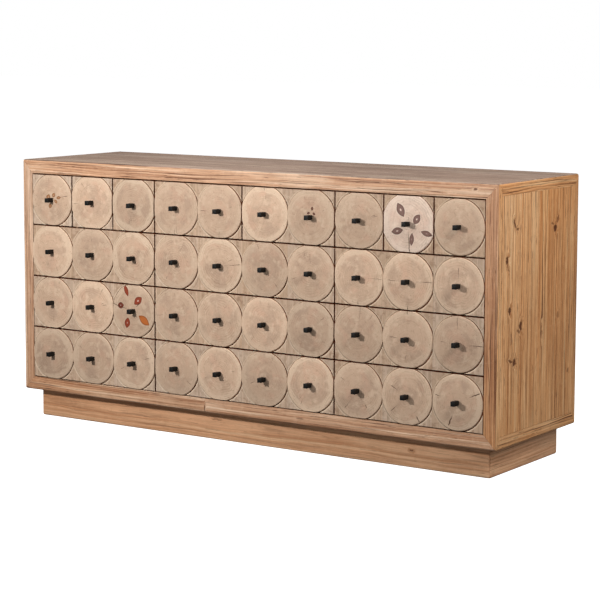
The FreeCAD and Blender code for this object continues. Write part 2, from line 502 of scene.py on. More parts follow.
@dataclass(frozen=True)
class WhorlKnot:
    """Branch knot cut across in a log slice, shaped like a lens.

    Attributes:
        across: Distance to the right of the slice's middle in metres.
        above: Distance above the middle in metres.
        turn: Direction of its length in degrees, anticlockwise from the right.
        length: Half length in metres.
        width: Half width in metres.
        colour: Colour of the knot.
        heart: Strength of its pale middle, 0 to 1.
    """

    across: float
    above: float
    turn: float
    length: float
    width: float
    colour: Colour
    heart: float = 0.0


@dataclass(frozen=True)
class SliceFinish:
    """End grain of a sawn and sanded log slice.

    Attributes:
        name: Name of the material.
        wood: Main colour.
        sap: Paler colour of the sapwood near the rim.
        weathered: Greyer colour of the patches.
        blush: Warmer colour of other patches.
        line: Colour of the ring lines and rays.
        face: Place of the slices' front along Y, behind which painted shade darkens the rim.
        rings: Ring lines in a metre.
        knots: Branch knots of this slice.
    """

    name: str
    wood: Colour
    sap: Colour
    weathered: Colour
    blush: Colour
    line: Colour
    face: float = SLICE_FACE
    rings: float = 150.0
    knots: tuple[WhorlKnot, ...] = ()

    def build(self) -> Material:
        """Make the material."""
        shade = Shader(self.name)
        place = shade.place()
        tone = shade.split(shade.attribute("tone_set"))
        shift = shade.attribute("seed_shift")
        x, _, z = shade.split(shade.vector("SUBTRACT", place, shade.attribute("pith")))
        flat = shade.combine(x, 0.0, z)
        seeded = shade.vector("ADD", flat, shift)
        radius = shade.vector("LENGTH", flat)
        warped = shade.plus(radius, shade.noise(seeded, scale=13.0), 0.030)
        warped = shade.plus(warped, shade.noise(seeded, scale=42.0), 0.008)
        fine = shade.noise(place, scale=620.0)
        speck = shade.noise(place, scale=190.0)
        saw = shade.math("FRACT", shade.times(warped, self.rings))
        ring = shade.times(shade.remap(saw, 0.45, 0.93), shade.remap(saw, 1.0, 0.95))
        presence = shade.noise(seeded, scale=24.0, detail=3.0, roughness=0.65)
        ring = shade.times(ring, shade.remap(presence, 0.46, 0.62))
        year = shade.noise(shade.combine(shade.times(warped, 260.0), 0.0, tone[0]), roughness=0.6)
        angle = shade.math("ARCTAN2", z, x)
        turned = shade.combine(shade.math("COSINE", angle), shade.math("SINE", angle),
                               shade.times(radius, 4.0))
        turned = shade.vector("ADD", turned, shift)
        ray = shade.noise(turned, scale=26.0, detail=3.0, roughness=0.7)
        split_line = shade.noise(turned, scale=19.0, detail=1.0)
        patch = shade.noise(seeded, scale=17.0, detail=3.0, roughness=0.55)
        blush = shade.noise(shade.vector("ADD", seeded, (3.0, 0.0, 5.0)), scale=24.0, detail=3.0)
        cloud = shade.noise(shade.vector("ADD", seeded, (7.0, 0.0, 2.0)), scale=44.0, detail=4.0)
        fleck = shade.noise(shade.vector("ADD", seeded, (1.0, 0.0, 4.0)), scale=105.0, detail=3.0,
                            roughness=0.6, distortion=0.6)
        colour = shade.mix(shade.remap(patch, 0.46, 0.62, 0.0, 0.8), self.wood, self.weathered)
        colour = shade.laid_over(colour, ((blush, 0.5, 0.68, 0.4, self.blush),
                                          (cloud, 0.52, 0.68, 0.6, self.sap)))
        band = shade.plus(warped, shade.less(patch, 0.5), 0.03)
        rim = shade.math("MAXIMUM", shade.times(shade.remap(band, 0.083, 0.090), tone[1]),
                         shade.remap(radius, 0.058, 0.076, 0.0, 0.5))
        colour = shade.mix(rim, colour, self.sap)
        colour = shade.laid_over(colour, ((year, 0.5, 0.7, 0.17, self.line),))
        colour = shade.mix(shade.times(ring, tone[2]), colour, self.line)
        colour = shade.laid_over(colour, (
            (ray, 0.56, 0.74, 0.2, self.line),
            (ray, 0.46, 0.3, 0.22, self.sap),
            (fleck, 0.57, 0.69, 0.28, self.line),
            (fleck, 0.43, 0.31, 0.3, self.sap),
            (speck, 0.66, 0.74, 0.5, self.line),
        ))
        hairline = shade.math("ABSOLUTE", shade.less(split_line, 0.5))
        hairline = shade.times(shade.remap(hairline, 0.006, 0.001), shade.remap(presence, 0.5, 0.62))
        colour = shade.mix(shade.times(hairline, 0.45), colour, self.line)
        for knot in self.knots:
            colour = self.with_knot(shade, colour, knot, place, fine)
        crack = self.checks(shade, flat)
        colour = shade.mix(shade.times(crack, 0.9), colour, CRACK_COLOUR)
        # Painted shade: the rim darkens with depth behind the slice's front.
        depth = shade.less(shade.split(place)[1], self.face)
        colour = shade.laid_over(colour, ((depth, 0.0014, 0.0042, 0.8, RIM_SHADE),))
        value = shade.times(shade.remap(fine, 0.3, 0.7, 0.95, 1.04), shade.plus(1.0, tone[0], 0.13))
        colour = shade.mix(1.0, colour, shade.combine(value, value, value), "MULTIPLY")
        height = shade.plus(shade.times(fine, 0.3), ring, -0.3)
        for value, factor in ((crack, -1.4), (ray, 0.25), (cloud, 0.8), (fleck, 0.4)):
            height = shade.plus(height, value, factor)
        rough = shade.remap(patch, 0.3, 0.7, 0.6, 0.78)
        return shade.finish(colour, rough, height, 0.0008, Specular_IOR_Level=0.25)

    def checks(self, shade: Shader, flat: object) -> Socket:
        """Mask of the three drying cracks that each slice carries.

        Args:
            shade: Material under work.
            flat: Position from the pith, across the slice.

        Returns:
            Mask that is 1 in a crack.
        """
        marks = [shade.split(shade.attribute("check_" + part)) for part in ("angle", "start", "end", "width")]
        waver = shade.times(shade.less(shade.noise(flat, 90.0), 0.5), CRACK_WAVER)
        mask: object = 0.0
        for angle, start, end, width in zip(*marks):
            cosine, sine = shade.math("COSINE", angle), shade.math("SINE", angle)
            run = shade.combine(cosine, 0.0, sine)
            side = shade.combine(sine, 0.0, shade.times(cosine, -1.0))
            along = shade.vector("DOT_PRODUCT", flat, run)
            away = shade.math("ABSOLUTE", shade.math("ADD", shade.vector("DOT_PRODUCT", flat, side), waver))
            place = shade.math("DIVIDE", shade.less(along, start), shade.less(end, start))
            swell = shade.times(shade.remap(place, 0.0, 0.7), shade.remap(place, 1.02, 0.9))
            open_to = shade.times(shade.times(width, swell), CRACK_SPREAD)
            mask = shade.math("MAXIMUM", mask, shade.remap(shade.less(open_to, away), -0.0002, 0.0004))
        return mask

    def with_knot(self, shade: Shader, colour: object, knot: WhorlKnot, place: object,
                  fine: object) -> Socket:
        """Colour with one branch knot laid over it.

        Args:
            shade: Material under work.
            colour: Colour so far.
            knot: The knot.
            place: Position on the object.
            fine: Fine noise that frays the knot's edge.

        Returns:
            The new colour.
        """
        away = shade.vector("SUBTRACT", place, shade.attribute("middle"))
        away = shade.vector("SUBTRACT", away, (knot.across, 0.0, knot.above))
        turn = math.radians(knot.turn)
        along = shade.vector("DOT_PRODUCT", away, (math.cos(turn), 0.0, math.sin(turn)))
        side = shade.vector("DOT_PRODUCT", away, (-math.sin(turn), 0.0, math.cos(turn)))
        along = shade.math("DIVIDE", along, knot.length)
        side = shade.math("ABSOLUTE", shade.math("DIVIDE", side, knot.width))
        span = shade.plus(side, along, along)
        span = shade.plus(shade.less(span, 0.15), fine, 0.3)
        colour = shade.laid_over(colour, ((span, 1.7, 0.95, 0.5, self.sap),
                                          (span, 1.15, 0.95, 1.0, knot.colour)))
        edge = shade.times(shade.remap(span, 1.1, 1.0), shade.remap(span, 0.6, 0.95, 0.0, 0.45))
        colour = shade.mix(edge, colour, KNOT_EDGE)
        core = shade.math("ADD", shade.times(shade.times(along, along), 5.0), side)
        return shade.laid_over(colour, ((core, 0.30, 0.12, knot.heart, KNOT_HEART),))


@dataclass(frozen=True)
class IronFinish:
    """Blackened iron with dull, slightly rubbed edges.

    Attributes:
        name: Name of the material.
        black: Main colour.
        rubbed: Colour of the worn patches.
    """

    name: str = "blackened_iron"
    black: Colour = srgb(10, 8, 6)
    rubbed: Colour = srgb(38, 36, 36)

    def build(self) -> Material:
        """Make the material."""
        shade = Shader(self.name)
        place = shade.place()
        worn = shade.noise(place, scale=260.0, detail=3.0)
        pit = shade.noise(place, scale=900.0)
        colour = shade.mix(shade.remap(worn, 0.52, 0.75, 0.0, 0.5), self.black, self.rubbed)
        rough = shade.remap(pit, 0.3, 0.7, 0.5, 0.7)
        return shade.finish(colour, rough, pit, 0.0003, Specular_IOR_Level=0.25)


@dataclass(frozen=True)
class Check:
    """Drying crack of a slice.

    Attributes:
        angle: Direction from the pith in degrees, anticlockwise from the right.
        start: Distance from the pith where it begins, in metres.
        end: Distance from the pith where it ends, in metres.
        width: Half width in metres.
    """

    angle: float
    start: float
    end: float
    width: float


RED_KNOT = srgb(146, 62, 38)
MAROON_KNOT = srgb(116, 52, 36)
ORANGE_KNOT = srgb(188, 104, 48)
PLUM_KNOT = srgb(124, 94, 84)
BROWN_KNOT = srgb(160, 112, 74)
DARK_KNOT = srgb(104, 62, 48)
BLEACHED_SLICE: Spot = (0, 8)
WHORLS: dict[Spot, tuple[WhorlKnot, ...]] = {
    (2, 2): (
        WhorlKnot(-0.028, 0.061, -68, 0.019, 0.0072, RED_KNOT),
        WhorlKnot(0.0175, 0.0325, 38, 0.0185, 0.0112, RED_KNOT, 0.8),
        WhorlKnot(-0.050, 0.0137, 8, 0.0125, 0.0095, MAROON_KNOT, 0.4),
        WhorlKnot(-0.0242, -0.0383, 80, 0.0165, 0.0102, RED_KNOT, 0.4),
        WhorlKnot(0.0404, -0.0258, -33, 0.0235, 0.0118, ORANGE_KNOT),
    ),
    BLEACHED_SLICE: (
        WhorlKnot(-0.0242, 0.0375, -62, 0.021, 0.0115, PLUM_KNOT, 0.9),
        WhorlKnot(0.0279, 0.0138, 55, 0.0165, 0.0100, PLUM_KNOT, 0.9),
        WhorlKnot(-0.0346, -0.0221, 12, 0.0190, 0.0095, PLUM_KNOT, 0.8),
        WhorlKnot(0.0121, -0.0429, 86, 0.0180, 0.0068, PLUM_KNOT, 0.2),
        WhorlKnot(0.0600, -0.0242, -14, 0.0190, 0.0075, PLUM_KNOT, 0.2),
    ),
    (0, 0): (
        WhorlKnot(-0.0133, 0.0083, 70, 0.0095, 0.0080, BROWN_KNOT, 0.6),
        WhorlKnot(0.0083, 0.0154, 60, 0.0080, 0.0060, BROWN_KNOT, 0.6),
        WhorlKnot(0.0283, 0.0083, 10, 0.0090, 0.0048, BROWN_KNOT, 0.3),
        WhorlKnot(0.0171, -0.0042, -40, 0.0080, 0.0048, BROWN_KNOT, 0.4),
        WhorlKnot(-0.0063, -0.0188, 80, 0.0085, 0.0060, BROWN_KNOT, 0.4),
    ),
    (0, 6): (
        WhorlKnot(0.0050, 0.0250, 80, 0.0062, 0.0042, DARK_KNOT, 0.2),
        WhorlKnot(-0.0075, 0.0113, 20, 0.0055, 0.0035, DARK_KNOT, 0.2),
        WhorlKnot(0.0113, 0.0104, -30, 0.0055, 0.0038, DARK_KNOT, 0.2),
    ),
}
CHECKS_IN_A_SLICE = 3
CHECKS: dict[Spot, tuple[Check, ...]] = {
    (0, 0): (Check(14, 0.030, 0.066, 0.0004), Check(200, 0.060, 0.078, 0.0002),
             Check(100, 0.050, 0.070, 0.0002)),
    (0, 3): (Check(268, 0.050, 0.079, 0.0003), Check(274, 0.050, 0.079, 0.0003)),
    (0, 4): (Check(270, 0.048, 0.078, 0.0002), Check(18, 0.030, 0.050, 0.0002)),
    (0, 5): (Check(90, 0.064, 0.079, 0.0004), Check(84, 0.040, 0.056, 0.0002)),
    (0, 8): (Check(-86, 0.012, 0.081, 0.0009), Check(-22, 0.070, 0.081, 0.0006),
             Check(85, 0.004, 0.020, 0.0003)),
    (1, 4): (Check(6, 0.024, 0.078, 0.0003), Check(24, 0.030, 0.052, 0.0003)),
    (1, 6): (Check(92, 0.018, 0.056, 0.0003),),
    (1, 7): (Check(0, 0.026, 0.080, 0.0003), Check(270, 0.060, 0.080, 0.0004)),
    (1, 8): (Check(180, 0.022, 0.066, 0.0003), Check(3, 0.022, 0.080, 0.0005),
             Check(271, 0.062, 0.080, 0.0005)),
    (1, 9): (Check(90, 0.008, 0.052, 0.0004),),
    (2, 2): (Check(168, 0.010, 0.081, 0.0006), Check(50, 0.012, 0.034, 0.0007),
             Check(-30, 0.020, 0.036, 0.0003)),
    (2, 7): (Check(84, 0.030, 0.080, 0.0004),),
    (2, 8): (Check(177, 0.024, 0.056, 0.0004), Check(90, 0.066, 0.080, 0.0005),
             Check(266, 0.036, 0.058, 0.0003)),
    (2, 9): (Check(1, 0.030, 0.080, 0.0006), Check(92, 0.034, 0.078, 0.0004),
             Check(176, 0.030, 0.054, 0.0003)),
    (3, 7): (Check(232, 0.046, 0.068, 0.0004), Check(-56, 0.038, 0.056, 0.0005),
             Check(150, 0.050, 0.066, 0.0003)),
    (3, 8): (Check(152, 0.026, 0.058, 0.0005), Check(-58, 0.056, 0.080, 0.0011),
             Check(222, 0.040, 0.070, 0.0004)),
    (3, 9): (Check(25, 0.038, 0.078, 0.0009), Check(248, 0.034, 0.072, 0.0010),
             Check(166, 0.052, 0.072, 0.0006)),
}
SLICE_DIAMETERS: tuple[tuple[float, ...], ...] = (
    (163.0, 170.0, 168.0, 167.0, 165.0, 168.0, 165.0, 163.0, 171.0, 159.0),
    (166.0, 167.0, 165.0, 166.0, 164.5, 165.0, 165.0, 166.0, 165.0, 157.5),
    (164.5, 167.0, 165.0, 166.0, 165.5, 165.0, 164.5, 165.0, 166.0, 159.0),
    (165.0, 166.0, 164.5, 166.0, 165.0, 165.5, 165.0, 166.0, 165.0, 160.0),
)
SIDE_KNOTS = (
    BoardKnot((SIDE, -0.133, 0.705), 0.0050, 3.0, (0.0, -0.42, 0.91), 0.9),
    BoardKnot((SIDE, -0.116, 0.690), 0.0038, 3.6, (0.0, 0.92, 0.2), 0.8),
    BoardKnot((SIDE, 0.113, 0.674), 0.0084, 1.5),
    BoardKnot((SIDE, 0.128, 0.699), 0.0044, 3.2, (0.0, 0.5, 0.86), 0.8),
    BoardKnot((SIDE, 0.096, 0.688), 0.0034, 4.0, (0.0, 0.96, -0.1), 0.6),
    BoardKnot((SIDE, -0.1745, 0.607), 0.0078, 1.5),
    BoardKnot((SIDE, -0.1700, 0.588), 0.0036, 3.2, (0.0, -0.2, 0.98), 0.7),
    BoardKnot((SIDE, -0.1560, 0.468), 0.0068, 1.7),
    BoardKnot((SIDE, -0.0910, 0.418), 0.0086, 1.9),
    BoardKnot((SIDE, -0.1020, 0.404), 0.0048, 2.6, (0.0, 0.9, -0.4), 0.7),
    BoardKnot((SIDE, -0.1450, 0.389), 0.0034, 6.0, depth=0.7),
    BoardKnot((SIDE, 0.0340, 0.391), 0.0042, 5.5, depth=0.7),
    BoardKnot((SIDE, 0.1360, 0.424), 0.0060, 1.8, depth=0.5),
    BoardKnot((SIDE, -0.1245, 0.322), 0.0084, 1.3),
    BoardKnot((SIDE, -0.1480, 0.327), 0.0034, 4.6, (0.0, 0.95, -0.3), 0.8),
    BoardKnot((SIDE, 0.2050, 0.253), 0.0050, 1.6, depth=0.6),
    BoardKnot((SIDE, -0.2165, 0.455), 0.0009, 370.0, depth=0.75),
    BoardKnot((SIDE, -0.2075, 0.455), 0.0008, 400.0, depth=0.7),
)
FRAME_KNOTS = (
    BoardKnot((0.777, FRAME_FACE, 0.803), 0.0034, 1.8, ACROSS, 0.9),
    BoardKnot((0.655, FRAME_FACE, 0.790), 0.0013, 16.0, ACROSS, 0.7),
    BoardKnot((0.500, FRAME_FACE, 0.808), 0.0010, 20.0, ACROSS, 0.4),
    BoardKnot((-0.137, FRAME_FACE, 0.101), 0.0017, 6.5, depth=0.95),
    BoardKnot((0.843, FRAME_FACE, 0.455), 0.0010, 350.0, depth=0.6),
    BoardKnot((0.834, FRAME_FACE, 0.455), 0.0008, 400.0, depth=0.5),
    BoardKnot((-0.838, FRAME_FACE, 0.455), 0.0009, 370.0, depth=0.6),
    BoardKnot((-0.825, FRAME_FACE, 0.455), 0.0009, 370.0, depth=0.4),
    BoardKnot((-0.430, FRAME_FACE, 0.783), 0.0011, 22.0, ACROSS, 0.8),
    BoardKnot((-0.270, FRAME_FACE, 0.787), 0.0010, 16.0, ACROSS, 0.6),
)
PLINTH_KNOTS = (
    BoardKnot((0.560, PLINTH_FACE, 0.050), 0.0036, 1.8, ACROSS, 0.8),
    BoardKnot((-0.120, PLINTH_FACE, 0.062), 0.0032, 7.0, ACROSS, 0.5),
)


class Finishes:
    """All the finishes of the sideboard, built once."""

    def __init__(self) -> None:
        """Build the materials."""
        self.case = PineFinish(
            "frame_pine", early=srgb(207, 162, 128), late=srgb(176, 122, 86), pale=srgb(242, 210, 179),
            dark=srgb(148, 95, 62), crevice=srgb(92, 52, 30), bands=105.0, bleached=0.85, stained=0.75,
            furrowed=0.75, knots=FRAME_KNOTS).build()
        self.side = PineFinish(
            "side_pine", early=srgb(224, 167, 114), late=srgb(184, 122, 72), pale=srgb(252, 213, 164),
            dark=srgb(160, 100, 55), crevice=srgb(92, 50, 24), bands=150.0, bleached=0.7, stained=0.65,
            furrowed=0.85, knots=SIDE_KNOTS).build()
        self.plinth = PineFinish(
            "plinth_pine", early=srgb(229, 172, 128), late=srgb(194, 130, 86), pale=srgb(244, 197, 152),
            dark=srgb(172, 115, 76), crevice=srgb(112, 68, 42), spacing=0.009, sway=0.03, bleached=0.55,
            stained=0.5, furrowed=0.4, knots=PLINTH_KNOTS).build()
        self.top = PineFinish(
            "weathered_top", early=srgb(167, 143, 129), late=srgb(136, 110, 92), pale=srgb(203, 184, 166),
            dark=srgb(112, 88, 70), crevice=srgb(70, 51, 39), bands=100.0, bleached=0.7, stained=0.7,
            furrowed=0.8).build()
        # Tile finish with a pale lip, partly a painted highlight, and painted shade in the gaps.
        self.tile = PineFinish(
            "backing_tile", early=srgb(194, 167, 143), late=srgb(175, 146, 122), pale=srgb(208, 182, 158),
            dark=srgb(157, 127, 105), crevice=srgb(112, 82, 60), spacing=0.019, bands=120.0,
            bleached=0.25, stained=0.2, furrowed=0.15, mottled=0.7, sheen=0.1,
            gap_shade_from=TILE_FACE + 0.2 * MM).build()
        inner = dict(early=srgb(214, 182, 142), late=srgb(186, 148, 106), pale=srgb(228, 204, 172),
                     dark=srgb(168, 132, 96), crevice=srgb(120, 86, 58), bleached=0.3, stained=0.25,
                     furrowed=0.2, relief=0.0003)
        self.inner = {None: PineFinish("inner_pine", **inner).build()}
        for laid in Grain:
            name = "inner_pine_" + laid.name.lower()
            self.inner[laid] = PineFinish(name, laid=laid, **inner).build()
        self.iron = IronFinish().build()
        wood = dict(wood=srgb(198, 167, 141), sap=srgb(214, 187, 160), weathered=srgb(182, 153, 130),
                    blush=srgb(206, 164, 138), line=srgb(150, 118, 93))
        bleached = dict(wood, wood=srgb(213, 187, 167), sap=srgb(228, 206, 187),
                        weathered=srgb(202, 177, 160), blush=srgb(214, 178, 158))
        self.slices = {None: SliceFinish("log_slice", **wood).build()}
        for spot, knots in WHORLS.items():
            name = "log_slice_row%d_column%d" % (spot[0] + 1, spot[1] + 1)
            tones = bleached if spot == BLEACHED_SLICE else wood
            self.slices[spot] = SliceFinish(name, knots=knots, **tones).build()


def between(first: float, second: float, share: float) -> float:
    """Number that lies a share of the way from the first to the second."""
    return first + (second - first) * share


def axis_vector(axis: int, length: float) -> Vector:
    """Vector of a given length along one axis."""
    return Vector([length if number == axis else 0.0 for number in range(3)])


def cut_at(axis: int, place: float, way: float) -> Cut:
    """Plane across one axis.

    Args:
        axis: The axis, 0 to 2.
        place: Where the plane crosses it.
        way: 1 to take off what lies above the plane, and -1 what lies below it.

    Returns:
        A point of the plane and the direction of what is taken off.
    """
    return axis_vector(axis, place), axis_vector(axis, way)


def linked(name: str, data: object) -> Piece:
    """New object in the scene.

    Args:
        name: Name of the object.
        data: Its mesh, light or lens.

    Returns:
        The object.
    """
    made = bpy.data.objects.new(name, data)
    bpy.context.scene.collection.objects.link(made)
    return made


def vertex_layer(part: Mesh, name: str) -> object:
    """Vector layer of a mesh's vertices, made if it is missing."""
    layers = part.verts.layers.float_vector
    return layers.get(name) or layers.new(name)


def new_mesh(name: str, parts: Iterable[Mesh], smooth_angle: float = 32.0) -> Piece:
    """Join finished parts into one object that sits at the origin.

    Args:
        name: Name of the piece.
        parts: Meshes of its boards, which are used up.
        smooth_angle: Edges flatter than this, in degrees, are shaded smooth.

    Returns:
        The new object, linked to the scene.
    """
    whole = bmesh.new()
    vertex_layer(whole, "grain")
    for part in parts:
        carrier = bpy.data.meshes.new("part")
        part.to_mesh(carrier)
        part.free()
        whole.from_mesh(carrier)
        bpy.data.meshes.remove(carrier)
    mesh = bpy.data.meshes.new(name)
    for face in whole.faces:
        face.smooth = True
    whole.to_mesh(mesh)
    whole.free()
    mesh.set_sharp_from_angle(angle=math.radians(smooth_angle))
    return linked(name, mesh)


def bevelled(part: Mesh, edges: Sequence[bmesh.types.BMEdge], offset: float, segments: int,
             clamp: bool = False) -> Mesh:
    """Take back some edges of a mesh.

    Args:
        part: The mesh, which is changed.
        edges: Its edges.
        offset: How far each is taken back.
        segments: Facets across it.
        clamp: Whether bevels that would meet stop short of each other.

    Returns:
        The same mesh.
    """
    bmesh.ops.bevel(part, geom=edges, offset=offset, offset_type="OFFSET", segments=segments,
                    profile=0.5, affect="EDGES", material=-1, clamp_overlap=clamp)
    return part


def box_part(low: Sequence[float], high: Sequence[float], arris: float = 0.0, segments: int = 2) -> Mesh:
    """Board between two corners, with its arrises eased.

    Args:
        low: Lowest corner.
        high: Highest corner.
        arris: How far each arris is taken back.
        segments: Facets across an eased arris.

    Returns:
        The mesh of the board.
    """
    part = bmesh.new()
    size = Vector(high) - Vector(low)
    middle = (Vector(high) + Vector(low)) / 2
    matrix = Matrix.Translation(middle) @ Matrix.Diagonal((*size, 1.0))
    bmesh.ops.create_cube(part, size=1.0, matrix=matrix)
    return bevelled(part, part.edges[:], arris, segments) if arris else part


def trimmed(part: Mesh, cuts: Sequence[Cut]) -> Mesh:
    """Cut a closed mesh with planes and close it again.

    Args:
        part: The mesh, which is changed.
        cuts: A point of each plane and the direction of what is taken off.

    Returns:
        The same mesh.
    """
    for point, outward in cuts:
        everything = part.verts[:] + part.edges[:] + part.faces[:]
        result = bmesh.ops.bisect_plane(part, geom=everything, dist=SNAP, plane_co=point,
                                        plane_no=outward.normalized(), clear_outer=True)
        rim = [item for item in result["geom_cut"] if isinstance(item, bmesh.types.BMEdge)]
        if rim:
            bmesh.ops.holes_fill(part, edges=rim, sides=0)
    bmesh.ops.recalc_face_normals(part, faces=part.faces[:])
    return part


def eased(part: Mesh, offset: float, angle: float = 35.0, segments: int = 1) -> Mesh:
    """Bevel the sharp edges of a mesh.

    Args:
        part: The mesh, which is changed.
        offset: How far each edge is taken back.
        angle: Edges flatter than this, in degrees, are left alone.
        segments: Facets across a bevelled edge.

    Returns:
        The same mesh.
    """
    limit = math.radians(angle)
    sharp = [edge for edge in part.edges if edge.is_manifold and edge.calc_face_angle() > limit]
    return bevelled(part, sharp, offset, segments, clamp=True)


def extruded(part: Mesh, run: Sequence[float]) -> list[bmesh.types.BMVert]:
    """Give a flat mesh its thickness.

    Args:
        part: The mesh, which is changed.
        run: How far and in which direction its faces are drawn out.

    Returns:
        The vertices of the far end.
    """
    grown = bmesh.ops.extrude_face_region(part, geom=part.faces[:])
    end = [item for item in grown["geom"] if isinstance(item, bmesh.types.BMVert)]
    bmesh.ops.translate(part, verts=end, vec=run)
    return end


def lay_grain(part: Mesh, grain: Grain, chance: random.Random, tones: Tones | None = None,
              rift: bool = True) -> Mesh:
    """Give a board its fibre direction and its own place in the log.

    Args:
        part: Mesh of the board, which is changed.
        grain: Fibre direction.
        chance: Source of the board's random place in the log.
        tones: How much lighter it is than its finish, at its low and its high end.
        rift: Whether the pith lies beside the board, so that its lines run straight.

    Returns:
        The same mesh.
    """
    layer = vertex_layer(part, "grain")
    tone = part.verts.layers.float.get("tone") or part.verts.layers.float.new("tone")
    corners = [Vector([vertex.co[axis] for axis in grain.value]) for vertex in part.verts]
    low = Vector([min(corner[axis] for corner in corners) for axis in range(3)])
    high = Vector([max(corner[axis] for corner in corners) for axis in range(3)])
    middle = (low + high) / 2
    half = (high - low) / 2
    aside = chance.uniform(-0.5, 0.5) * half.y
    if rift:
        aside = chance.choice((-1, 1)) * (half.y + chance.uniform(*PITH_BESIDE))
    pith = Vector((chance.uniform(0.0, LOG_LENGTH), aside - middle.y,
                   half.z - middle.z + chance.uniform(*PITH_BEHIND)))
    mean = chance.uniform(*BOARD_TONES)
    start, end = tones or (mean, mean)
    for vertex, corner in zip(part.verts, corners):
        vertex[layer] = corner + pith
        vertex[tone] = between(start, end, (corner.x - low.x) / (high.x - low.x))
    return part


def dress(node: Piece, material: Material, ease: float = 1 * MM) -> None:
    """Give a CAD node its material and soften its arrises with modifiers.

    Args:
        node: Object of the CAD node.
        material: Its material.
        ease: How far each arris is taken back.
    """
    node.data.materials.clear()
    node.data.materials.append(material)
    node.modifiers.new("joined", "WELD").merge_threshold = WELD_REACH
    bevel = node.modifiers.new("eased", "BEVEL")
    bevel.width = ease
    bevel.segments = 1
    bevel.limit_method = "ANGLE"
    bevel.angle_limit = math.radians(40)


@dataclass
class Sizes:
    """Sizes that several sub-assemblies share, in metres, in the frame's own axes.

    Attributes:
        pitch: Width and height of a tile with its share of the gaps.
        opening_left: Left edge of the opening in the front frame.
        opening_top: Its upper edge.
        reveal: Gap between two drawers, before wear.
        case_low: Lowest corner of the case.
        case_high: Highest corner of the case.
        frame_thickness: Thickness of the front frame.
        case_round: Rounding of the case's outer arrises.
        joint_ease: Easing of the boards' edges at their joints.
        row_drawers: Tiles of each drawer, row by row from the top.
    """

    pitch: float = 162 * MM
    opening_left: float = -810 * MM
    opening_top: float = 778 * MM
    reveal: float = 3 * MM
    case_low: Vector = field(default_factory=lambda: Vector((-0.850, -0.2245, 0.088)))
    case_high: Vector = field(default_factory=lambda: Vector((0.850, 0.2605, 0.820)))
    frame_thickness: float = 22 * MM
    case_round: float = 6 * MM
    joint_ease: float = 0.9 * MM
    row_drawers: tuple[tuple[int, ...], ...] = (
        (1, 1, 1, 2, 2, 1, 1, 1), (3, 4, 3), (3, 4, 3), (3, 4, 3))

    def envelope(self) -> Mesh:
        """Outside of the case with rounded arrises."""
        return box_part(self.case_low, self.case_high, self.case_round, segments=4)

    def column_line(self, column: int) -> float:
        """Line between two columns of tiles, counted from the left."""
        return self.opening_left + column * self.pitch

    def row_line(self, row: int) -> float:
        """Line above a row of tiles, counted from the top."""
        return self.opening_top - row * self.pitch


